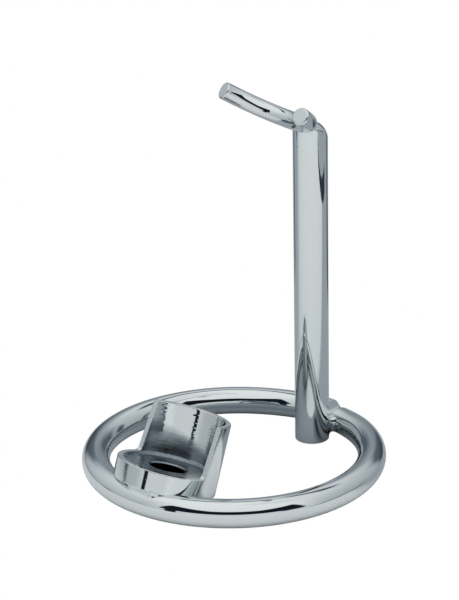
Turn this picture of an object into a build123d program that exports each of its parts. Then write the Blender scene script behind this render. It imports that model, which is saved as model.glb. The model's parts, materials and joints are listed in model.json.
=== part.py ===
"""Chromed stand for a shaving brush or safety razor.

Round bar, brazed up from four pieces: a base ring, an upright post inside its back,
an open fork on top of the post, and a leaning cup on the front of the ring.
Millimetres, +Z up.  The origin is the ring's centre on the table, -Y is the front.
"""
from build123d import *
import math
import os

os.makedirs("parts", exist_ok=True)

# ---- Base ring: round bar bent to a circle, its ends brazed behind the post
RING_MEAN_R = 47.5
RING_BAR_D = 9.7
RING_BAR_R = RING_BAR_D / 2
SEAM_LEFT_X = -2.1
SEAM_RIGHT_X = 2.1
SEAM_FLOOR_Z = 5.4

# ---- Post: round bar standing on the table, touching the ring's inner side
POST_D = 12.0
POST_R = POST_D / 2
POST_Y = RING_MEAN_R - RING_BAR_R - POST_R
POST_DOME_Z = 110.4
POST_FOOT_CHAMFER = 0.4

# ---- Fork: round bar bent to an open arc, rising to the front
FORK_BAR_D = 6.1
FORK_BAR_R = FORK_BAR_D / 2
FORK_BEND_R = 21.1
FORK_HALF_ANGLE = 75.0
FORK_RISE = 33.4
FORK_YAW = -3.0
FORK_BACK_Y = 28.3
FORK_BACK_Z = 118.7
FORK_TIP_CHAMFER = 0.6

# ---- Cup: turned from bar, leaning to the post, its front milled down to a low rim
CUP_D = 34.9
CUP_R = CUP_D / 2
CUP_BORE_R = 15.5
CUP_LEAN = 18.5
CUP_FOOT = (4.3, -34.8, 5.8)
CUP_HEIGHT = 25.0
CUP_LOW_RIM = 7.0
CUP_FLOOR = 6.15
CUP_FLOOR_COVE = 0.95
CUP_HOLE_R = 6.25
CUP_HOLE_CHAMFER = 0.5
CUP_CUT_START = 0.8
CUP_CUT_ANGLE = 7.0
CUP_CUTTER_R = 1.5
CUP_EDGE = 0.35

# ---- Braze metal
SEAM_BRAZE_R = 4.6
SEAM_BRAZE_LOW = 1.0
SEAM_BRAZE_HIGH = 7.6
CUP_BRAZE_LENGTH = 13.0
CUP_BRAZE_WIDTH = 8.4
CUP_BRAZE_DEPTH = 1.4
CUP_BRAZE_X = 9.0
CUP_BRAZE_INSET = 1.0
FORK_BRAZE_LOW = 108.5
FORK_BRAZE_ROUND = 2.8


# ---------------------------------------------------------------- base ring
with BuildPart() as base_ring:
    with BuildSketch(Plane.XZ):
        with Locations((RING_MEAN_R, RING_BAR_R)):
            Circle(RING_BAR_R)
    revolve(axis=Axis.Z)
    # The two square-cut bar ends stand a little apart; braze fills only the lower part of the gap.
    with BuildSketch(Plane.XY.offset(SEAM_FLOOR_Z)):
        with Locations(((SEAM_LEFT_X + SEAM_RIGHT_X) / 2, RING_MEAN_R)):
            Rectangle(SEAM_RIGHT_X - SEAM_LEFT_X, 2 * RING_BAR_D)
    extrude(amount=RING_BAR_D, mode=Mode.SUBTRACT)
base_ring.part.label = "base_ring"

# ---------------------------------------------------------------- post
with BuildPart() as post:
    with BuildSketch(Plane.XZ.offset(-POST_Y)):
        with BuildLine():
            Line((0, 0), (POST_R - POST_FOOT_CHAMFER, 0))
            Line((POST_R - POST_FOOT_CHAMFER, 0), (POST_R, POST_FOOT_CHAMFER))
            Line((POST_R, POST_FOOT_CHAMFER), (POST_R, POST_DOME_Z))
            CenterArc((0, POST_DOME_Z), POST_R, 0, 90)
            Line((0, POST_DOME_Z + POST_R), (0, 0))
        make_face()
    revolve(axis=Axis((0, POST_Y, 0), (0, 0, 1)))
post.part.label = "post"

# ---------------------------------------------------------------- fork
yaw = math.radians(FORK_YAW)
rise = math.radians(FORK_RISE)
across = Vector(math.cos(yaw), math.sin(yaw), 0)
backward = Vector(-math.sin(yaw) * math.cos(rise), math.cos(yaw) * math.cos(rise), -math.sin(rise))
fork_plane = Plane(origin=(0, FORK_BACK_Y, FORK_BACK_Z), x_dir=across, z_dir=across.cross(backward))

with BuildPart() as fork:
    with BuildLine(fork_plane) as fork_path:
        CenterArc((0, -FORK_BEND_R), FORK_BEND_R, 90 - FORK_HALF_ANGLE, 2 * FORK_HALF_ANGLE)
    with BuildSketch(Plane(origin=fork_path.line @ 0, z_dir=fork_path.line % 0)):
        Circle(FORK_BAR_R)
    sweep(path=fork_path.line)
    tips = fork.edges().filter_by(GeomType.CIRCLE).filter_by(lambda e: abs(e.radius - FORK_BAR_R) < 0.01)
    chamfer(tips, FORK_TIP_CHAMFER)
fork.part.label = "fork"

# ---------------------------------------------------------------- cup
lean = math.radians(CUP_LEAN)
cup_axis = Vector(0, math.sin(lean), math.cos(lean))
cup_plane = Plane(origin=CUP_FOOT, x_dir=(1, 0, 0), z_dir=cup_axis)
cup_section = Plane(origin=CUP_FOOT, x_dir=(1, 0, 0), z_dir=-cup_plane.y_dir)
cup_side = Plane(origin=CUP_FOOT, x_dir=cup_plane.y_dir, z_dir=(1, 0, 0))
cut_top = CUP_HEIGHT + 2
cut_drift = (cut_top - CUP_LOW_RIM) * math.tan(math.radians(CUP_CUT_ANGLE))

with BuildPart() as cup:
    with BuildSketch(cup_section):
        with BuildLine():
            Polyline(
                (CUP_HOLE_R, 0),
                (CUP_R - CUP_EDGE, 0),
                (CUP_R, CUP_EDGE),
                (CUP_R, CUP_HEIGHT - CUP_EDGE),
                (CUP_R - CUP_EDGE, CUP_HEIGHT),
                (CUP_BORE_R + CUP_EDGE, CUP_HEIGHT),
                (CUP_BORE_R, CUP_HEIGHT - CUP_EDGE),
                (CUP_BORE_R, CUP_FLOOR + CUP_FLOOR_COVE),
                (CUP_BORE_R - CUP_FLOOR_COVE, CUP_FLOOR),
                (CUP_HOLE_R + CUP_HOLE_CHAMFER, CUP_FLOOR),
                (CUP_HOLE_R, CUP_FLOOR - CUP_HOLE_CHAMFER),
                close=True,
            )
        make_face()
    revolve(axis=Axis(CUP_FOOT, cup_axis))
    # Front half milled away above the low rim, on a plane that leans back a little.
    with BuildSketch(cup_side):
        with BuildLine():
            FilletPolyline(
                (-CUP_D, cut_top),
                (-CUP_D, CUP_LOW_RIM),
                (CUP_CUT_START, CUP_LOW_RIM),
                (CUP_CUT_START + cut_drift, cut_top),
                radius=CUP_CUTTER_R,
            )
            Line((CUP_CUT_START + cut_drift, cut_top), (-CUP_D, cut_top))
        make_face()
    extrude(amount=CUP_D, both=True, mode=Mode.SUBTRACT)
    # Shallow saddle where the cup's foot beds on the ring.
    add(base_ring.part, mode=Mode.SUBTRACT)
cup.part.label = "cup"

# ---------------------------------------------------------------- braze behind the post
with BuildPart() as seam_braze:
    with BuildSketch(Plane.XY.offset(SEAM_BRAZE_LOW)):
        with Locations((0, RING_MEAN_R - RING_BAR_R)):
            Circle(SEAM_BRAZE_R)
    extrude(amount=SEAM_BRAZE_HIGH - SEAM_BRAZE_LOW)
    add(base_ring.part, mode=Mode.SUBTRACT)
    add(post.part, mode=Mode.SUBTRACT)
seam_braze.part.label = "seam_braze"

# ---------------------------------------------------------------- braze under the cup
ring_turn = math.asin(CUP_BRAZE_X / RING_MEAN_R)
contact = cup_plane.to_local_coords(Vector(CUP_BRAZE_X, -RING_MEAN_R * math.cos(ring_turn), RING_BAR_R))
with BuildPart() as cup_braze:
    with BuildSketch(cup_plane):
        with Locations((contact.X, contact.Y)):
            Ellipse(CUP_BRAZE_LENGTH / 2, CUP_BRAZE_WIDTH / 2, rotation=math.degrees(ring_turn))
        Circle(CUP_R - CUP_BRAZE_INSET, mode=Mode.INTERSECT)
    extrude(amount=-CUP_BRAZE_DEPTH)
    add(base_ring.part, mode=Mode.SUBTRACT)
cup_braze.part.label = "cup_braze"

# ---------------------------------------------------------------- braze under the fork
# The post's side carried up to the fork bar, its top sloping back from the bar down to the dome.
dome_centre = Vector(0, POST_Y, POST_DOME_Z)
neck_line = Vector(0, FORK_BACK_Y, FORK_BACK_Z) - dome_centre
neck_taper = math.asin((POST_R - FORK_BAR_R) / neck_line.length)
neck_rise = neck_line.normalized()
neck_square = Vector(0, neck_rise.Z, -neck_rise.Y)
neck_top = neck_square * math.cos(neck_taper) + neck_rise * math.sin(neck_taper)
with BuildPart() as fork_braze:
    with BuildSketch(Plane.XY.offset(FORK_BRAZE_LOW)):
        with Locations((0, POST_Y)):
            Circle(POST_R)
    extrude(amount=2 * POST_D)
    split(bisect_by=Plane(origin=dome_centre + neck_top * POST_R, z_dir=neck_top), keep=Keep.BOTTOM)
    fillet(fork_braze.edges().filter_by(GeomType.ELLIPSE), FORK_BRAZE_ROUND)
    add(post.part, mode=Mode.SUBTRACT)
    add(fork.part, mode=Mode.SUBTRACT)
fork_braze.part.label = "fork_braze"

export_step(base_ring.part, "parts/base_ring.step")
export_step(post.part, "parts/post.step")
export_step(fork.part, "parts/fork.step")
export_step(cup.part, "parts/cup.step")
export_step(seam_braze.part, "parts/seam_braze.step")
export_step(cup_braze.part, "parts/cup_braze.step")
export_step(fork_braze.part, "parts/fork_braze.step")
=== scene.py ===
"""Looks for the chromed shaving stand: polished round bar, a turned cup and brazed joints."""

import json
import math

import bpy
import numpy as np
from mathutils import Matrix, Vector


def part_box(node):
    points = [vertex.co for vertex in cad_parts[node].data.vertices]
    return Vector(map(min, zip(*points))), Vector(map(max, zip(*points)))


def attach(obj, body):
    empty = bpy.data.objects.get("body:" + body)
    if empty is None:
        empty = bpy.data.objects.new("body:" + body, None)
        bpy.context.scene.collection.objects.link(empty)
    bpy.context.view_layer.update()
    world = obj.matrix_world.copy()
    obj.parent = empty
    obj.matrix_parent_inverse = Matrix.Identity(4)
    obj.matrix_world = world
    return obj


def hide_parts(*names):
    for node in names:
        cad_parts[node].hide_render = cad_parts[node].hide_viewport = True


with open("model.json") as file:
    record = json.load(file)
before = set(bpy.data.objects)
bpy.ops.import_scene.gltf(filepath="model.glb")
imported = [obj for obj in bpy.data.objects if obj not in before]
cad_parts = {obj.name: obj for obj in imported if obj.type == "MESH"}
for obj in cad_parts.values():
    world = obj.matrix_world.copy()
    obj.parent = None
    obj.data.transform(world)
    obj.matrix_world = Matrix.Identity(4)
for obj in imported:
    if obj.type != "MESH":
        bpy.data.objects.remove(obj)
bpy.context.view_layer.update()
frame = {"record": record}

MM = 0.001
UP = Vector((0, 0, 1))

# ---------------------------------------------------------------- sizes
ring_low, ring_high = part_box("base_ring")
RING_BAR_R = (ring_high.z - ring_low.z) / 2
RING_R = ring_high.x - RING_BAR_R

post_low, post_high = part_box("post")
POST_R = (post_high.x - post_low.x) / 2
POST_Y = (post_high.y + post_low.y) / 2
POST_DOME_Z = post_high.z - POST_R
POST_FOOT_EDGE = 0.4 * MM

FORK_BACK = Vector((0, 28.3, 118.7)) * MM
FORK_BEND_R = 21.1 * MM
FORK_BAR_R = 3.05 * MM
FORK_HALF_ANGLE = math.radians(75)
FORK_RISE = math.radians(33.4)
FORK_YAW = math.radians(-3)
FORK_TIP_EDGE = 0.6 * MM

mounts = {m["name"]: m for m in frame["record"]["mounts"]}
hole = mounts["cup_floor_hole"]
CUP_AXIS = Vector(hole["axis"]).normalized()
CUP_HOLE_R = hole["dims"]["r_mm"] * MM
CUP_HOLE_CHAMFER = 0.5 * MM
CUP_R = 17.45 * MM
CUP_BORE_R = 15.5 * MM
CUP_HEIGHT = 25.0 * MM
CUP_LOW_RIM = 7.0 * MM
CUP_FLOOR = 6.15 * MM
CUP_FLOOR_COVE = 0.95 * MM
CUP_FOOT = Vector(hole["pos_m"]) - CUP_AXIS * (CUP_FLOOR - CUP_HOLE_CHAMFER) / 2
CUP_CUT_START = 0.8 * MM
CUP_CUT_ANGLE = math.radians(7)
CUP_CUTTER_R = 1.5 * MM
CUP_EDGE = 0.35 * MM


# ---------------------------------------------------------------- mesh helpers
def new_object(name, verts, faces, normals=None):
    """A smooth-shaded mesh object; normals, if given, hold one exact normal a vertex."""
    mesh = bpy.data.meshes.new(name)
    mesh.from_pydata(np.asarray(verts).tolist(), [], [list(map(int, f)) for f in faces])
    mesh.polygons.foreach_set("use_smooth", [True] * len(mesh.polygons))
    if normals is not None:
        mesh.normals_split_custom_set_from_vertices(normals.tolist())
    mesh.update()
    piece = bpy.data.objects.new(name, mesh)
    bpy.context.scene.collection.objects.link(piece)
    return piece


def loop_strip(low, high):
    """Quads between two closed loops of vertex numbers; a loop of one is a pole."""
    count = max(len(low), len(high))
    faces = []
    for k in range(count):
        n = (k + 1) % count
        if len(low) == 1:
            faces.append((low[0], high[n], high[k]))
        elif len(high) == 1:
            faces.append((low[k], low[n], high[0]))
        else:
            faces.append((low[k], low[n], high[n], high[k]))
    return faces


def loops_object(name, loops, closed=False):
    """Joins a run of loops, each a list of points, into one skin."""
    verts, numbers = [], []
    for loop in loops:
        numbers.append(list(range(len(verts), len(verts) + len(loop))))
        verts.extend(tuple(p) for p in loop)
    pairs = list(zip(numbers, numbers[1:]))
    if closed:
        pairs.append((numbers[-1], numbers[0]))
    faces = [f for low, high in pairs for f in loop_strip(low, high)]
    return new_object(name, verts, faces)


def arc_points(centre, radius, start, end, steps):
    """Points (across, along) on an arc; angles in degrees."""
    angles = np.radians(np.linspace(start, end, steps + 1))
    return [(centre[0] + radius * math.cos(a), centre[1] + radius * math.sin(a)) for a in angles]


def circle_loop(centre, side, up, radius, segments):
    """Points of one circle, from side toward up."""
    if radius < 1e-9:
        return [centre]
    turn = [2 * math.pi * k / segments for k in range(segments)]
    return [centre + side * (radius * math.cos(a)) + up * (radius * math.sin(a)) for a in turn]


def placed(origin, x, y, z):
    """The matrix of a frame with this origin and these three axes."""
    return Matrix.Translation(origin) @ Matrix((x, y, z)).transposed().to_4x4()


# ---------------------------------------------------------------- rounded solids as distance fields
def round_max(a, b, r):
    """What is in both shapes, its outer edge rounded to radius r."""
    return np.minimum(np.maximum(a, b), -r) + np.hypot(np.maximum(a + r, 0), np.maximum(b + r, 0))


def round_min(a, b, r):
    """Both shapes, with a concave fillet of radius r between them."""
    return np.maximum(np.minimum(a, b), r) - np.hypot(np.maximum(r - a, 0), np.maximum(r - b, 0))


def d_ring(p):
    return np.hypot(np.hypot(p[..., 0], p[..., 1]) - RING_R, p[..., 2] - RING_BAR_R) - RING_BAR_R


def d_post_side(p):
    return np.hypot(p[..., 0], p[..., 1] - POST_Y) - POST_R


def d_cup(p):
    """The cup in its own frame: +Z along its axis from the foot, -Y its open front."""
    x, y, z = p[..., 0], p[..., 1], p[..., 2]
    rho = np.hypot(x, y)
    blank = round_max(round_max(rho - CUP_R, z - CUP_HEIGHT, CUP_EDGE), -z, CUP_EDGE)
    cove = ((rho - CUP_BORE_R + CUP_FLOOR_COVE) - (z - CUP_FLOOR)) / math.sqrt(2)
    bore = np.maximum(np.maximum(rho - CUP_BORE_R, CUP_FLOOR - z), cove)
    chamfer = ((rho - CUP_HOLE_R) - (z - CUP_FLOOR + CUP_HOLE_CHAMFER)) / math.sqrt(2)
    drilled = np.minimum(rho - CUP_HOLE_R, np.maximum(chamfer, z - CUP_FLOOR - CUP_HOLE_CHAMFER))
    past_cut, above_cut = y - CUP_CUT_START, z - CUP_LOW_RIM
    cut_face = past_cut * math.cos(CUP_CUT_ANGLE) - above_cut * math.sin(CUP_CUT_ANGLE)
    milled = round_max(cut_face, CUP_LOW_RIM - z, CUP_CUTTER_R)
    shape = round_max(blank, -bore, CUP_EDGE * 0.7)
    shape = round_max(shape, -milled, CUP_EDGE * 0.6)
    return np.maximum(shape, -drilled)


CELL_CORNERS = [np.array((i, j, k)) for i in (0, 1) for j in (0, 1) for k in (0, 1)]
SKIN_PASSES = 3


def at_corner(array, corner):
    """The grid's values at one corner of every cell."""
    i, j, k = corner
    size = np.array(array.shape) - 1
    return array[i:i + size[0], j:j + size[1], k:k + size[2]]


def field_slope(field, p, tiny):
    """The field's gradient at each point."""
    return np.stack([field(p + e) - field(p - e) for e in tiny * np.eye(3)], -1) / (2 * tiny)


def skin_points(value, active):
    """A point for each active cell, in cell units: the mean of the places where its edges cross zero."""
    where = np.argwhere(active)
    points = np.zeros((len(where), 3))
    crossings = np.zeros((len(where), 1))
    for corner in CELL_CORNERS:
        for axis in np.flatnonzero(corner == 0):
            other = corner + np.eye(3, dtype=int)[axis]
            here, there = at_corner(value, corner)[active], at_corner(value, other)[active]
            crossing = (here < 0) != (there < 0)
            spot = (where + corner).astype(float)
            spot[:, axis] += np.where(crossing, here / np.where(crossing, here - there, 1), 0)
            points += np.where(crossing[:, None], spot, 0)
            crossings += crossing[:, None]
    return points / crossings


def skin_faces(inside, index):
    """One quad for each grid edge that crosses the skin, between the four cells round it."""
    cells = np.array(index.shape)
    faces = []
    for axis in range(3):
        u, v = (axis + 1) % 3, (axis + 2) % 3
        near, far = [slice(None)] * 3, [slice(None)] * 3
        near[axis], far[axis] = slice(0, -1), slice(1, None)
        near, far = inside[tuple(near)], inside[tuple(far)]
        spots = np.argwhere(near != far)
        across = spots[:, (u, v)]
        spots = spots[((across > 0) & (across < cells[[u, v]])).all(axis=1)]
        quad = []
        for du, dv in ((0, 0), (-1, 0), (-1, -1), (0, -1)):
            moved = spots.copy()
            moved[:, u] += du
            moved[:, v] += dv
            quad.append(index[tuple(moved.T)])
        quad = np.stack(quad, -1)
        outward = near[tuple(spots.T)]
        faces.append(np.where(outward[:, None], quad, quad[:, ::-1]))
    return np.vstack(faces)


def surface(name, field, low, high, step):
    """The skin of a distance field in a box: one vertex a cell, drawn onto the field's zero."""
    low, high = np.array(low, float), np.array(high, float)
    counts = np.ceil((high - low) / step).astype(int) + 1
    axes = [low[i] + step * np.arange(counts[i]) for i in range(3)]
    value = field(np.stack(np.meshgrid(*axes, indexing="ij"), -1))
    inside = value < 0
    filled = sum(at_corner(inside, corner).astype(int) for corner in CELL_CORNERS)
    active = (filled > 0) & (filled < len(CELL_CORNERS))
    index = np.full(active.shape, -1)
    index[active] = np.arange(active.sum())
    points = low + step * skin_points(value, active)
    for _ in range(SKIN_PASSES):
        slope = field_slope(field, points, step * 0.1)
        size = np.maximum((slope ** 2).sum(-1, keepdims=True), 0.25)
        points = points - np.clip(field(points), -step / 2, step / 2)[:, None] * slope / size
    slope = field_slope(field, points, step * 0.1)
    slope /= np.linalg.norm(slope, axis=-1, keepdims=True)
    return new_object(name, points, skin_faces(inside, index), slope)


# ---------------------------------------------------------------- node helpers
class Nodes:
    """Adds and links nodes in one tree."""

    def __init__(self, tree):
        self.tree = tree
        self.tree.nodes.clear()

    def add(self, kind, inputs=None, **settings):
        node = self.tree.nodes.new(kind)
        for key, value in settings.items():
            setattr(node, key, value)
        for key, value in (inputs or {}).items():
            if isinstance(value, bpy.types.NodeSocket):
                self.tree.links.new(value, node.inputs[key])
            else:
                node.inputs[key].default_value = value
        return node

    def math(self, operation, a, b=0.0, c=0.0):
        node = self.add("ShaderNodeMath", {0: a, 1: b, 2: c}, operation=operation)
        return node.outputs[0]

    def both(self, a, b):
        """Where two masks overlap."""
        return self.math("MULTIPLY", a, b)

    def sum_of_squares(self, a, b):
        return self.math("MULTIPLY_ADD", a, a, self.math("MULTIPLY", b, b))

    def ramp(self, value, stops):
        """Grey steps over value: (place, level) pairs, joined by straight lines."""
        node = self.add("ShaderNodeValToRGB", {0: value})
        elements = node.color_ramp.elements
        while len(elements) < len(stops):
            elements.new(0.5)
        for element, (place, level) in zip(elements, stops):
            element.position = place
            element.color = (level, level, level, 1)
        return node.outputs[0]

    def spread(self, value, low, high, to_low=0.0, to_high=1.0):
        """Value mapped from low..high to to_low..to_high, held level outside."""
        node = self.add("ShaderNodeMapRange", {0: value, 1: low, 2: high, 3: to_low, 4: to_high})
        return node.outputs[0]

    def window(self, value, low, high, soft):
        """1 between low and high, 0 outside, with edges soft wide."""
        rise = self.spread(value, low - soft / 2, low + soft / 2)
        fall = self.spread(value, high - soft / 2, high + soft / 2, 1.0, 0.0)
        return self.both(rise, fall)

    def blend(self, where, below, above):
        """below where the mask is 0, above where it is 1."""
        node = self.add("ShaderNodeMix", {0: where, 2: below, 3: above}, data_type="FLOAT")
        return node.outputs[0]

    def blend_colour(self, where, below, above, blend_type="MIX"):
        """As blend, with colours; or the two multiplied."""
        inputs = {0: where, 6: below, 7: above}
        return self.add("ShaderNodeMix", inputs, data_type="RGBA", blend_type=blend_type).outputs[2]

    def noise(self, vector, scale, detail, roughness=0.5):
        inputs = {"Vector": vector, "Scale": scale, "Detail": detail, "Roughness": roughness}
        return self.add("ShaderNodeTexNoise", inputs).outputs["Fac"]

    def join(self, x, y, z):
        """A vector from three values."""
        return self.add("ShaderNodeCombineXYZ", {0: x, 1: y, 2: z}).outputs[0]

    def split(self, vector):
        """A vector's three values."""
        return self.add("ShaderNodeSeparateXYZ", {0: vector}).outputs

    def dot(self, a, b):
        return self.add("ShaderNodeVectorMath", {0: a, 1: b}, operation="DOT_PRODUCT").outputs["Value"]

    def cool_grey(self, level):
        """A grey that turns bluer as it gets darker."""
        red = self.math("POWER", level, 1.085)
        blue = self.math("POWER", level, 0.91)
        return self.add("ShaderNodeCombineColor", {0: red, 1: level, 2: blue}).outputs[0]

    def unless_camera(self, lit, seen):
        """The shader lit for every reflection and shadow, and seen for the camera itself."""
        rays = self.add("ShaderNodeLightPath").outputs["Is Camera Ray"]
        return self.add("ShaderNodeMixShader", {0: rays, 1: lit.outputs[0], 2: seen.outputs[0]}).outputs[0]


def new_material(name):
    """An empty node material, and its nodes."""
    material = bpy.data.materials.new(name)
    material.use_nodes = True
    return material, Nodes(material.node_tree)


# ---------------------------------------------------------------- finishes
PLATE = (0.655, 0.700, 0.707)
PIT_AMOUNT = 0.3
PIT_ROUGHNESS = 0.25
PIT_SHADE = 0.45
GRAIN_STRETCH = 0.04

TURNING_DEPTH = 0.006 * MM
SCORE_DEPTH = 0.02 * MM
SCORE_STRETCH = 0.10
SCORE_LEAN = 0.16
TORN_DEPTH = 0.12 * MM
DEEP_TOP = 16.5 * MM
DEEP_FULL = 14.0 * MM
# Painted shade in the cup's recess: its colour is multiplied darker, lower down and toward one side.
RECESS_SHADE_TOP = 15.5 * MM
RECESS_SHADE_FULL = 12.5 * MM
RECESS_SHADE_SLOPE = 0.45
RECESS_SHADE_SHIFT = 8 * MM
RECESS_SHADE_TONE = (0.36, 0.40, 0.45, 1)
# Painted shade: the hole through the cup's floor is coloured near black.
HOLE_SHADE_TONE = (0.012, 0.014, 0.018, 1)


def plate_surface(n, place, along, waviness, grain, haze):
    """Bump height and roughness of plated metal, and the mask of its pits."""
    slow = n.noise(place, 160, 2.0)
    ripple = n.noise(place, 900, 2.0, 0.6)
    drawn_at = n.add("ShaderNodeMapping", {"Vector": along, "Scale": (GRAIN_STRETCH, 1, 1)})
    drawn = n.noise(drawn_at.outputs[0], 6500, 3.0, 0.6)
    cells = n.add("ShaderNodeTexVoronoi", {"Vector": place, "Scale": 420, "Randomness": 1.0})
    pit = n.math("MULTIPLY", n.spread(cells.outputs["Distance"], 0.02, 0.06, 1.0, 0.0), PIT_AMOUNT)
    smudge = n.noise(place, 70, 4.0, 0.65)

    height = n.math("MULTIPLY", slow, waviness)
    height = n.math("MULTIPLY_ADD", ripple, waviness * 0.06, height)
    height = n.math("MULTIPLY_ADD", drawn, grain, height)
    height = n.math("MULTIPLY_ADD", pit, -grain * 2, height)
    rough = n.spread(smudge, 0.35, 0.7, haze[0], haze[1])
    rough = n.math("MULTIPLY_ADD", pit, PIT_ROUGHNESS, rough)
    return height, rough, pit


def plate_tone(n, pit):
    """The plate's colour, darker in its pits."""
    return n.blend_colour(pit, (*PLATE, 1), (*(c * PIT_SHADE for c in PLATE), 1))


def bumped(n, height):
    return n.add("ShaderNodeBump", {"Strength": 1.0, "Distance": 1.0, "Height": height}).outputs[0]


def set_metal(n, tone, rough, normal):
    inputs = {"Base Color": tone, "Metallic": 1.0, "Roughness": rough, "Normal": normal}
    shader = n.add("ShaderNodeBsdfPrincipled", inputs)
    n.add("ShaderNodeOutputMaterial", {0: shader.outputs[0]})


def chrome(name, waviness, grain, haze, coords=None):
    """Plated metal. waviness and grain are bump heights in metres; haze is the roughness range."""
    material, n = new_material(name)
    place = n.add("ShaderNodeTexCoord").outputs["Object"]
    along = place
    if coords:
        along = n.add("ShaderNodeAttribute", attribute_name=coords).outputs["Vector"]
    height, rough, pit = plate_surface(n, place, along, waviness, grain, haze)
    set_metal(n, plate_tone(n, pit), rough, bumped(n, height))
    return material


def lean_sideways(n, normal, amount):
    """The normal turned round the cup's axis, so that tool marks break up what the bore mirrors."""
    round_axis = n.add("ShaderNodeTangent", direction_type="RADIAL", axis="Z").outputs[0]
    sideways = n.add("ShaderNodeVectorMath", {0: round_axis, "Scale": amount}, operation="SCALE").outputs[0]
    leaning = n.add("ShaderNodeVectorMath", {0: normal, 1: sideways}, operation="ADD").outputs[0]
    return n.add("ShaderNodeVectorMath", {0: leaning}, operation="NORMALIZE").outputs[0]


def turned_chrome(name, waviness, grain, haze):
    """The cup's plate: tool marks in the bore, torn milled edges, and duller metal deep inside; painted
    shade darkens the recess and the hole through the floor.
    """
    material, n = new_material(name)
    source = n.add("ShaderNodeTexCoord")
    place = source.outputs["Object"]
    normal_y = n.split(source.outputs["Normal"])[1]
    x, y, z = n.split(place)
    radius = n.math("SQRT", n.sum_of_squares(x, y))
    in_bore = n.spread(radius, CUP_BORE_R + 0.1 * MM, CUP_BORE_R - 0.1 * MM)
    deep = n.both(n.spread(z, DEEP_TOP, DEEP_FULL), in_bore)
    height, rough, pit = plate_surface(n, place, place, waviness, grain, haze)

    # Rings round the axis and short scores round it, both stronger deep in the bore.
    rings = n.noise(n.join(radius, 0.0, z), 1900, 2.0, 0.6)
    ring_marks = n.math("MULTIPLY", rings, n.math("MULTIPLY_ADD", deep, 0.7, 0.3))
    height = n.math("MULTIPLY_ADD", ring_marks, TURNING_DEPTH, height)
    swept = n.math("MULTIPLY", n.math("ARCTAN2", y, x), CUP_BORE_R * SCORE_STRETCH)
    scored = n.noise(n.join(swept, radius, z), 3000, 2.0)
    score_marks = n.math("MULTIPLY", scored, n.math("MULTIPLY_ADD", deep, 0.65, 0.35))
    height = n.math("MULTIPLY_ADD", score_marks, SCORE_DEPTH, height)
    rough = n.math("MULTIPLY_ADD", deep, n.math("MULTIPLY", scored, 0.55), rough)

    # The two upright edges that face forward, torn where the front was milled away.
    lip = n.both(n.window(y, -1.0 * MM, 4.5 * MM, MM), n.spread(z, CUP_LOW_RIM, CUP_LOW_RIM + MM))
    torn_edge = n.both(n.spread(normal_y, -0.8, -0.95), lip)
    torn = n.noise(place, 1400, 4.0, 0.7)
    height = n.math("MULTIPLY_ADD", n.math("MULTIPLY", torn, torn_edge), TORN_DEPTH, height)
    rough = n.math("MULTIPLY_ADD", torn_edge, 0.2, rough)

    normal = bumped(n, height)
    normal = lean_sideways(n, normal, n.both(n.spread(scored, 0.48, 0.72, 0.0, SCORE_LEAN), in_bore))

    # Painted shade: the colour is darkened down in the recess, lower and toward one side, and the hole
    # through the floor is painted near black.
    in_hole = n.spread(radius, CUP_HOLE_R + 0.08 * MM, CUP_HOLE_R)
    tone = n.blend_colour(in_hole, plate_tone(n, pit), HOLE_SHADE_TONE)
    inner = n.spread(radius, CUP_BORE_R + 0.15 * MM, CUP_BORE_R - 0.05 * MM)
    drift = n.math("MULTIPLY_ADD", n.math("ADD", x, RECESS_SHADE_SHIFT), RECESS_SHADE_SLOPE, z)
    recess = n.both(n.spread(drift, RECESS_SHADE_TOP, RECESS_SHADE_FULL), inner)
    shaded_tone = n.blend_colour(1.0, tone, RECESS_SHADE_TONE, "MULTIPLY")
    set_metal(n, n.blend_colour(recess, tone, shaded_tone), rough, normal)
    return material


BAR_CHROME = chrome("bar_chrome", 0.006 * MM, 0.00006 * MM, (0.012, 0.045), coords="bar_coords")
CUP_CHROME = turned_chrome("cup_chrome", 0.006 * MM, 0.00015 * MM, (0.02, 0.07))
BRAZE_CHROME = chrome("braze_chrome", 0.02 * MM, 0.0001 * MM, (0.02, 0.07))


def finish_piece(piece, material, node):
    """Gives a piece its material, puts it under the root body and hides the CAD node it stands for."""
    piece.data.materials.append(material)
    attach(piece, "root")
    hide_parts(node)
    return piece


def store_bar_coords(piece, coords):
    """Keeps (along the bar, across, across) for each vertex, in metres, for the drawn grain."""
    layer = piece.data.attributes.new("bar_coords", "FLOAT_VECTOR", "POINT")
    layer.data.foreach_set("vector", np.asarray(coords, float).ravel())


# ---------------------------------------------------------------- base ring
SEAM_LEFT = -2.1 * MM
SEAM_RIGHT = 2.1 * MM
SEAM_FLOOR = 5.4 * MM
SEAM_MENISCUS = 1.0 * MM
LEFT_END_EDGE = 0.35 * MM
LEFT_END_LIFT = 0.9 * MM
LEFT_END_FADE = 16 * MM
RIGHT_END_EDGE = 0.8 * MM
RIGHT_END_SQUASH = 0.06
RIGHT_END_FADE = 9 * MM
RING_STATIONS = 420
END_MARGIN = 0.2 * MM


def seam_stations():
    """(along, shrink, ceiling) rows across the gap between the bar's two ends, left to right."""
    corner = [(1 - math.sin(t), 1 - math.cos(t)) for t in np.radians(np.arange(0, 91, 10))]
    left = [(SEAM_LEFT - LEFT_END_EDGE * back, LEFT_END_EDGE * drop, None) for back, drop in corner]
    right = [(SEAM_RIGHT + RIGHT_END_EDGE * back, RIGHT_END_EDGE * drop, None) for back, drop in corner]
    middle = (SEAM_LEFT + SEAM_RIGHT) / 2
    reach = (SEAM_RIGHT - SEAM_LEFT) * 0.499
    sweep = np.linspace(-1, 1, 21)
    gap = [(middle + u * reach, 0.0, SEAM_FLOOR + SEAM_MENISCUS * u ** 4) for u in sweep]
    return left + gap + right[::-1]


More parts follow.
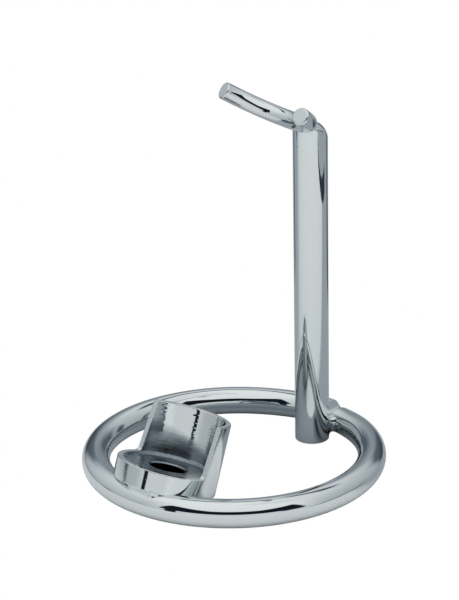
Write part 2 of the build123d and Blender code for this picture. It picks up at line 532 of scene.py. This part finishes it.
def seam_height(s, z):
    """Height of a point of the bar, its left end a little proud and its right end a little flat."""
    across = min(1.0, max(0.0, (s - SEAM_LEFT) / (SEAM_RIGHT - SEAM_LEFT)))
    past_left = min(0.0, s - SEAM_LEFT) / LEFT_END_FADE
    past_right = max(0.0, s - SEAM_RIGHT) / RIGHT_END_FADE
    lift = LEFT_END_LIFT * math.exp(-(past_left ** 2)) * (1 - across)
    squash = RIGHT_END_SQUASH * math.exp(-(past_right ** 2)) * across
    return lift + z * (1 - squash)


def make_ring(segments=96):
    """Round bar bent to a circle; its two ends stand a little apart, the gap half filled with braze."""
    half = math.pi * RING_R
    before = np.linspace(-half, SEAM_LEFT - LEFT_END_EDGE - END_MARGIN, RING_STATIONS)[:-1]
    after = np.linspace(SEAM_RIGHT + RIGHT_END_EDGE + END_MARGIN, half, RING_STATIONS)[1:-1]
    rows = [(s, 0.0, None) for s in before] + seam_stations() + [(s, 0.0, None) for s in after]
    turn = 2 * math.pi * np.arange(segments) / segments
    upper = np.clip(np.sin(turn) / 0.3, 0, 1)
    loops, coords = [], []
    for s, shrink, ceiling in rows:
        a = math.pi / 2 - s / RING_R
        outward = Vector((math.cos(a), math.sin(a), 0))
        reach = RING_BAR_R - shrink * upper
        if ceiling is not None:
            room = (ceiling - RING_BAR_R) / np.maximum(np.sin(turn), 1e-3)
            reach = np.where(np.sin(turn) > 0, np.minimum(reach, room), RING_BAR_R)
        loops.append([
            outward * (RING_R + r * math.cos(t)) + UP * seam_height(s, RING_BAR_R + r * math.sin(t))
            for r, t in zip(reach, turn)
        ])
        coords.extend((s, RING_BAR_R * math.cos(t), RING_BAR_R * math.sin(t)) for t in turn)
    ring = loops_object("base_ring_bar", loops, closed=True)
    store_bar_coords(ring, coords)
    return finish_piece(ring, BAR_CHROME, "base_ring")


# ---------------------------------------------------------------- post
DOME_SINK = 0.8 * MM
POST_RING_GAP = 2 * MM


def post_coords(piece):
    """Bar coordinates of a piece of the post, for the drawn grain along it."""
    return [(v.co.z, v.co.x, v.co.y - POST_Y) for v in piece.data.vertices]


def make_post(segments=144):
    """The upright bar; its dome sits just under the skin of the neck that joins it to the fork."""
    edge = POST_FOOT_EDGE
    dome = POST_DOME_Z - DOME_SINK
    profile = [(0, 0), (POST_R * 0.5, 0)]
    profile += arc_points((POST_R - edge, edge), edge, -90, 0, 6)
    profile += [(POST_R, z) for z in np.arange(POST_RING_GAP, dome, POST_RING_GAP)]
    profile += arc_points((0, dome), POST_R, 0, 88, 24)
    profile += [(0, dome + POST_R)]
    side, rear = Vector((1, 0, 0)), Vector((0, 1, 0))
    loops = [circle_loop(rear * POST_Y + UP * z, side, rear, r, segments) for r, z in profile]
    post = loops_object("post_bar", loops)
    store_bar_coords(post, post_coords(post))
    return finish_piece(post, BAR_CHROME, "post")


# ---------------------------------------------------------------- fork
FORK_LEVEL = Vector((-math.sin(FORK_YAW), math.cos(FORK_YAW), 0))
FORK_ACROSS = Vector((math.cos(FORK_YAW), math.sin(FORK_YAW), 0))
FORK_REAR = FORK_LEVEL * math.cos(FORK_RISE) - UP * math.sin(FORK_RISE)
FORK_NORMAL = FORK_ACROSS.cross(FORK_REAR).normalized()
FORK_CENTRE = FORK_BACK - FORK_REAR * FORK_BEND_R


def fork_stations(steps=150):
    """(radius, angle) of each loop from tip to tip, with the tips' edges rounded."""
    edge, r = FORK_TIP_EDGE, FORK_BAR_R
    tip = [(0, 0.0), (r * 0.4, 0.0), (r - edge * 1.1, 0.0)]
    tip += [(r - edge + x, edge + y) for x, y in arc_points((0, 0), edge, -90, 0, 9)]
    tip += [(r, edge * 1.2)]
    start = [(size, along / FORK_BEND_R - FORK_HALF_ANGLE) for size, along in tip]
    inner = -start[-1][1]
    middle = [(r, a) for a in np.linspace(-inner, inner, steps)[1:-1]]
    return start + middle + [(size, -a) for size, a in start[::-1]]


def make_fork(segments=96):
    """Round bar bent to an open arc."""
    loops, coords = [], []
    for size, a in fork_stations():
        outward = FORK_REAR * math.cos(a) + FORK_ACROSS * math.sin(a)
        centre = FORK_CENTRE + outward * FORK_BEND_R
        loop = circle_loop(centre, outward, FORK_NORMAL, size, segments)
        loops.append(loop)
        for p in loop:
            offset = p - centre
            coords.append((a * FORK_BEND_R, offset.dot(outward), offset.dot(FORK_NORMAL)))
    fork = loops_object("fork_bar", loops)
    store_bar_coords(fork, coords)
    return finish_piece(fork, BAR_CHROME, "fork")


# ---------------------------------------------------------------- cup
def cup_place():
    """The cup's own frame: origin at the foot's centre, +Z up its axis, +X across."""
    x = Vector((1, 0, 0))
    return placed(CUP_FOOT, x, CUP_AXIS.cross(x), CUP_AXIS)


def make_cup(step=0.25 * MM):
    """The turned cup, made in its own frame and leant into place."""
    reach = CUP_R + 2 * step
    low, high = (-reach, -reach, -2 * step), (reach, reach, CUP_HEIGHT + 2 * step)
    cup = surface("turned_cup", d_cup, low, high, step)
    cup.matrix_world = cup_place()
    return finish_piece(cup, CUP_CHROME, "cup")


# ---------------------------------------------------------------- braze
def sink(distance, start, rate):
    """Depth by which braze dives under the bars past start, so that its edge feathers out."""
    return rate * np.maximum(distance - start, 0) ** 2 / MM


FILL_STEP = 0.2 * MM
FILL_BOX = 8 * MM
FILL_PROUD = 0.01 * MM
FEATHER_START = 4.5 * MM

SEAM_FILL = 3.2 * MM
SEAM_FILL_TOP = 7.6 * MM
SEAM_FILL_LOW = 0.6 * MM
SEAM_FILL_REACH = 7.5 * MM
SEAM_CENTRE = np.array((0, POST_Y + POST_R, RING_BAR_R))


def seam_field(p):
    """Braze between the post and the ring, with the gap between the bar's ends left open."""
    away = np.linalg.norm(p - SEAM_CENTRE, axis=-1)
    gap = np.minimum(p[..., 0] - SEAM_LEFT, SEAM_RIGHT - p[..., 0])
    open_gap = np.minimum(gap, p[..., 2] - SEAM_FLOOR)
    bar = round_max(d_ring(p), open_gap, 0.3 * MM)
    joined = round_min(bar, d_post_side(p), SEAM_FILL)
    feathered = joined + sink(away, FEATHER_START, 0.05) - FILL_PROUD
    skin = np.maximum(feathered, away - SEAM_FILL_REACH)
    skin = round_max(skin, p[..., 2] - SEAM_FILL_TOP, 0.8 * MM)
    return np.maximum(skin, SEAM_FILL_LOW - p[..., 2])


def make_seam_braze():
    """The fillet of braze behind the post."""
    braze = surface("seam_fillet", seam_field, SEAM_CENTRE - FILL_BOX, SEAM_CENTRE + FILL_BOX, FILL_STEP)
    return finish_piece(braze, BRAZE_CHROME, "seam_braze")


CUP_FILL = 2.2 * MM
CUP_FILL_REACH = 7.0 * MM
CUP_FILL_TOP = 4 * MM
CUP_FILL_X = 9.0 * MM
CUP_FILL_CENTRE = np.array((CUP_FILL_X, -math.sqrt(RING_R ** 2 - CUP_FILL_X ** 2), 2 * RING_BAR_R))
CUP_COLUMNS = np.array(cup_place().to_3x3())


def cup_fill_field(p):
    """Braze between the ring and the cup's foot."""
    local = (p - np.array(CUP_FOOT)) @ CUP_COLUMNS
    blank = round_max(np.hypot(local[..., 0], local[..., 1]) - CUP_R, -local[..., 2], CUP_EDGE)
    away = np.linalg.norm((p - CUP_FILL_CENTRE) * (1, 1, 0.6), axis=-1)
    joined = round_min(d_ring(p), blank, CUP_FILL)
    feathered = joined + sink(away, FEATHER_START, 0.06) - FILL_PROUD
    return np.maximum(feathered, np.maximum(away - CUP_FILL_REACH, local[..., 2] - CUP_FILL_TOP))


def make_cup_braze():
    """The fillet of braze under the cup."""
    low, high = CUP_FILL_CENTRE - FILL_BOX, CUP_FILL_CENTRE + FILL_BOX
    braze = surface("cup_fillet", cup_fill_field, low, high, FILL_STEP)
    return finish_piece(braze, BRAZE_CHROME, "cup_braze")


NECK_LOW = np.array((0, POST_Y, POST_DOME_Z))
NECK_HIGH = np.array(FORK_BACK)
NECK_FILLET = 1.0 * MM
NECK_ROUND = 3.5 * MM
NECK_START = POST_DOME_Z - 1.4 * MM
NECK_PROUD = 0.003 * MM
NECK_REACH = 9 * MM


def d_neck(p):
    """The post's side carried up to the fork bar, its top sloping back down to the dome."""
    line = NECK_HIGH - NECK_LOW
    length = np.linalg.norm(line)
    rise = line / length
    square = np.array((0, rise[2], -rise[1]))
    taper = math.asin((POST_R - FORK_BAR_R) / length)
    top = square * math.cos(taper) + rise * math.sin(taper)
    field = round_max(d_post_side(p) - NECK_PROUD, (p - NECK_LOW) @ top - POST_R, NECK_ROUND)
    return np.maximum(field, NECK_START - p[..., 2])


def d_fork(p):
    offset = p - np.array(FORK_CENTRE)
    high = offset @ np.array(FORK_NORMAL)
    flat = np.linalg.norm(offset - high[..., None] * np.array(FORK_NORMAL), axis=-1)
    return np.hypot(flat - FORK_BEND_R, high) - FORK_BAR_R


def neck_field(p):
    """The neck, filleted into a short length of the fork bar."""
    away = np.linalg.norm(p - NECK_HIGH, axis=-1)
    feathered = d_fork(p) + sink(away, 4.0 * MM, 0.02) - 0.004 * MM
    return round_min(d_neck(p), np.maximum(feathered, away - NECK_REACH), NECK_FILLET)


def make_fork_braze():
    """The neck that joins the post's top to the fork."""
    low = np.minimum(NECK_LOW, NECK_HIGH) - FILL_BOX
    high = np.maximum(NECK_LOW, NECK_HIGH) + FILL_BOX
    braze = surface("fork_neck", neck_field, low, high, FILL_STEP)
    store_bar_coords(braze, post_coords(braze))
    return finish_piece(braze, BAR_CHROME, "fork_braze")


make_ring()
make_post()
make_fork()
make_cup()
make_seam_braze()
make_cup_braze()
make_fork_braze()

# ---------------------------------------------------------------- camera
CAMERA_AZIMUTH = math.radians(49.39)
CAMERA_ELEVATION = math.radians(20.78)
CAMERA_ROLL = math.radians(-1.07)
CAMERA_DISTANCE = 0.9
CAMERA_SHIFT = (1.6 * MM, -57.6 * MM)
SENSOR = 36.0
LENS = 156.43

TOWARD = Vector((math.sin(CAMERA_AZIMUTH), -math.cos(CAMERA_AZIMUTH), 0))
ASIDE = Vector((math.cos(CAMERA_AZIMUTH), math.sin(CAMERA_AZIMUTH), 0))


def make_camera():
    """A long lens that looks down at the stand, rolled by a degree."""
    back = TOWARD * math.cos(CAMERA_ELEVATION) + UP * math.sin(CAMERA_ELEVATION)
    above = back.cross(ASIDE)
    right = ASIDE * math.cos(CAMERA_ROLL) + above * math.sin(CAMERA_ROLL)
    above = back.cross(right)
    camera = bpy.data.objects.new("camera", bpy.data.cameras.new("camera"))
    camera.data.sensor_width = SENSOR
    camera.data.lens = LENS
    camera.data.clip_start = 0.05
    camera.data.clip_end = 50
    spot = back * CAMERA_DISTANCE - right * CAMERA_SHIFT[0] - above * CAMERA_SHIFT[1]
    camera.matrix_world = placed(spot, right, above, back)
    bpy.context.scene.collection.objects.link(camera)
    bpy.context.scene.camera = camera


# ---------------------------------------------------------------- floor
# Places on the floor are metres from the ring's centre: front toward the camera, aside to its right.
FLOOR_REACH = 4.0
# Painted shade and light on the floor, for the chrome to mirror: darker toward the back and inside the
# ring, with a painted pool of light inside it.
FLOOR_TONES = [(0.0, 0.50), (0.09, 0.52), (0.20, 0.84), (0.30, 0.91), (0.50, 0.96), (1.0, 1.0)]
INNER_TONES = [(0.0, 0.20), (0.6, 0.36), (1.0, 0.42)]
POOL = (0.024, 0.018)
POOL_REACH = (0.019, 0.022)
RIGHT_EDGE = 0.314
RIGHT_EDGE_BEND = 0.18
LEFT_EDGE = -0.34


def table_axes(n, place):
    """Distance toward the camera's side and to its right, from the ring's centre."""
    return n.dot(place, tuple(TOWARD)), n.dot(place, tuple(ASIDE))


def inner_level(n, front, aside):
    """Tone of the floor inside the ring, which lies in its shade."""
    level = n.ramp(n.spread(front, -0.045, 0.0), INNER_TONES)
    shade = n.both(n.spread(aside, 0.028, 0.036), n.spread(front, 0.012, 0.002))
    return n.blend(shade, level, 0.03)


def floor_level(n, front, aside):
    """Tone of the floor as the chrome mirrors it, with painted shade and painted light: darker toward the
    back, round the right rear and inside the ring, with a bright pool inside it.
    """
    level = n.ramp(n.spread(front, -0.1, 0.4), FLOOR_TONES)
    # Painted shade on the floor at the right rear of the ring.
    right_rear = n.both(n.spread(aside, 0.04, 0.06), n.spread(front, 0.034, 0.016))
    level = n.blend(right_rear, level, 0.48)
    from_centre = n.math("SQRT", n.sum_of_squares(front, aside))
    inside = n.spread(from_centre, RING_R, RING_R - 2 * RING_BAR_R)
    level = n.blend(inside, level, inner_level(n, front, aside))
    # A painted pool of light on the floor inside the ring.
    pool_front = n.math("DIVIDE", n.math("SUBTRACT", front, POOL[0]), POOL_REACH[0])
    pool_aside = n.math("DIVIDE", n.math("SUBTRACT", aside, POOL[1]), POOL_REACH[1])
    pool = n.spread(n.sum_of_squares(pool_front, pool_aside), 1.15, 0.85)
    level = n.blend(pool, level, 0.92)

    # The bright floor ends on the right in a dark line, with a greyer floor past it.
    edge = n.math("MULTIPLY_ADD", n.math("MINIMUM", front, RIGHT_EDGE_BEND), -0.15, RIGHT_EDGE)
    past_bend = n.math("MAXIMUM", n.math("SUBTRACT", front, RIGHT_EDGE_BEND), 0.0)
    edge = n.math("MULTIPLY_ADD", past_bend, 0.3, edge)
    past = n.math("SUBTRACT", aside, edge)
    level = n.blend(n.spread(past, 0.0, 0.01), level, 0.50)
    half_width = n.spread(front, 0.15, -0.02, 0.010, 0.022)
    off_line = n.math("DIVIDE", n.math("ABSOLUTE", past), half_width)
    line = n.both(n.spread(off_line, 1.15, 0.85), n.window(front, -0.085, 0.22, 0.02))
    level = n.blend(line, level, 0.05)
    far_left = n.both(n.spread(aside, LEFT_EDGE + 0.02, LEFT_EDGE), n.spread(front, -0.04, -0.07))
    return n.blend(far_left, level, 0.15)


def make_floor():
    """A plain pale floor, even white to the camera; the chrome mirrors it with painted shade and light,
    brighter in front.
    """
    far = FLOOR_REACH
    corners = [(-far, -far, 0), (far, -far, 0), (far, far, 0), (-far, far, 0)]
    floor = new_object("floor", corners, [(0, 1, 2, 3)])
    material, n = new_material("floor")
    front, aside = table_axes(n, n.add("ShaderNodeTexCoord").outputs["Object"])
    lit = n.add("ShaderNodeBsdfDiffuse", {"Color": n.cool_grey(floor_level(n, front, aside))})
    seen = n.add("ShaderNodeEmission", {"Color": (1, 1, 1, 1), "Strength": 1.0})
    n.add("ShaderNodeOutputMaterial", {0: n.unless_camera(lit, seen)})
    floor.data.materials.append(material)


def make_card(name, front, aside, width, height):
    """A dark card behind the object, soft at its sides, seen only in the chrome."""
    half = width / 2
    corners = [(-half, 0, 0), (half, 0, 0), (half, 0, height), (-half, 0, height)]
    card = new_object(name, corners, [(0, 1, 2, 3)])
    card.matrix_world = placed(TOWARD * front + ASIDE * aside, ASIDE, -TOWARD, UP)
    material, n = new_material(name)
    x, _, z = n.split(n.add("ShaderNodeTexCoord").outputs["Object"])
    level = n.spread(z, 0, height, 0.05, 0.20)
    sides = n.window(x, -half * 0.7, half * 0.7, half * 0.6)
    solid = n.both(sides, n.spread(z, height, height * 0.8))
    dark = n.add("ShaderNodeEmission", {"Color": n.cool_grey(level), "Strength": 1.0})
    clear = n.add("ShaderNodeBsdfTransparent")
    mix = n.add("ShaderNodeMixShader", {0: solid, 1: clear.outputs[0], 2: dark.outputs[0]})
    n.add("ShaderNodeOutputMaterial", {0: mix.outputs[0]})
    card.data.materials.append(material)
    card.visible_camera = False
    card.visible_diffuse = False
    card.visible_shadow = False


# ---------------------------------------------------------------- light
# Directions in the studio are degrees: elevation above the floor, and bearing, 0 toward the camera's
# side and positive to its right.  Tones are over elevation, from the floor to straight up.
SIDE_TONES = [
    (0.0, 0.54), (0.17, 0.65), (0.33, 0.73), (0.45, 0.82), (0.56, 0.93), (0.68, 1.05), (1.0, 1.07),
]
FRONT_TONES = [(0.0, 0.80), (0.2, 0.84), (0.4, 1.0), (1.0, 1.07)]
LAMP_TOWARD = 0.4
LAMP_HEIGHT = 1.3


def tent_level(n, elevation, bearing, round_back):
    """Tone of the pale tent: white overhead, greyer round the sides, darker low at the back."""
    up_share = n.spread(elevation, 0, 90)
    sides, before = n.ramp(up_share, SIDE_TONES), n.ramp(up_share, FRONT_TONES)
    level = n.blend(n.spread(round_back, 70, 50), sides, before)
    level = n.math("MULTIPLY", level, n.blend(n.window(bearing, 75, 150, 30), 1.0, 0.86))
    rear = n.both(n.spread(round_back, 135, 172), n.spread(elevation, 40, 22))
    return n.blend(rear, level, 0.32)


def dark_zones(n, level, elevation, bearing, round_back):
    """The tent with its dark parts: bars at the back, a gap low at the sides, and the open front."""
    for low, high, dark in ((-172, -150, 0.13), (136, 166, 0.14)):
        bar = n.both(n.window(bearing, low, high, 12), n.spread(elevation, 32, 16))
        level = n.blend(bar, level, dark)
    back_edge = n.both(n.window(elevation, 49, 57, 4), n.spread(round_back, 128, 138))
    level = n.blend(back_edge, level, 0.12)
    gap_sides = n.math("MAXIMUM", n.window(bearing, 58, 108, 12), n.window(bearing, -109, -100, 3))
    level = n.blend(n.both(n.window(elevation, -3, 2.5, 2), gap_sides), level, 0.14)

    # The opening's top rises toward its sides; it has a leg down on the left and a corner on the right.
    under_top = n.spread(n.math("SUBTRACT", elevation, n.spread(round_back, 20, 50, 37, 46)), 1, -1)
    slot = n.both(n.spread(elevation, 13, 15), under_top)
    level = n.blend(n.both(slot, n.window(bearing, -57, 52, 3)), level, 0.012)
    leg = n.both(n.window(elevation, 1, 20, 2), n.window(bearing, -52, -43, 1.5))
    level = n.blend(leg, level, 0.015)
    corner = n.both(n.window(elevation, 10, 20, 2), n.window(bearing, 34, 52, 4))
    return n.blend(corner, level, 0.02)


def make_world():
    """A pale tent, open in front where the camera looks in; the camera itself sees even white."""
    world = bpy.data.worlds.new("studio")
    bpy.context.scene.world = world
    world.use_nodes = True
    n = Nodes(world.node_tree)
    direction = n.add("ShaderNodeTexCoord").outputs["Generated"]
    front, aside = table_axes(n, direction)
    elevation = n.math("MULTIPLY", n.math("ARCSINE", n.split(direction)[2]), 180 / math.pi)
    bearing = n.math("MULTIPLY", n.math("ARCTAN2", aside, front), 180 / math.pi)
    round_back = n.math("ABSOLUTE", bearing)
    level = tent_level(n, elevation, bearing, round_back)
    level = dark_zones(n, level, elevation, bearing, round_back)
    lit = n.add("ShaderNodeBackground", {"Color": n.cool_grey(level), "Strength": 1.0})
    seen = n.add("ShaderNodeBackground", {"Color": (1, 1, 1, 1), "Strength": 1.0})
    n.add("ShaderNodeOutputWorld", {0: n.unless_camera(lit, seen)})


def make_lamp():
    """A soft overhead lamp for the floor, which the chrome does not mirror."""
    lamp = bpy.data.objects.new("softbox", bpy.data.lights.new("softbox", "AREA"))
    lamp.data.shape = "DISK"
    lamp.data.size = 1.6
    lamp.data.energy = 4.6
    tilt = Matrix.Rotation(math.atan2(LAMP_TOWARD, LAMP_HEIGHT), 4, ASIDE)
    lamp.matrix_world = Matrix.Translation(TOWARD * LAMP_TOWARD + UP * LAMP_HEIGHT) @ tilt
    lamp.visible_glossy = False
    lamp.visible_camera = False
    bpy.context.scene.collection.objects.link(lamp)


make_camera()
make_floor()
make_card("card_left", -0.143, -0.098, 0.080, 0.10)
make_card("card_right", -0.127, 0.135, 0.110, 0.10)
make_world()
make_lamp()
bpy.context.scene.view_settings.view_transform = "Standard"
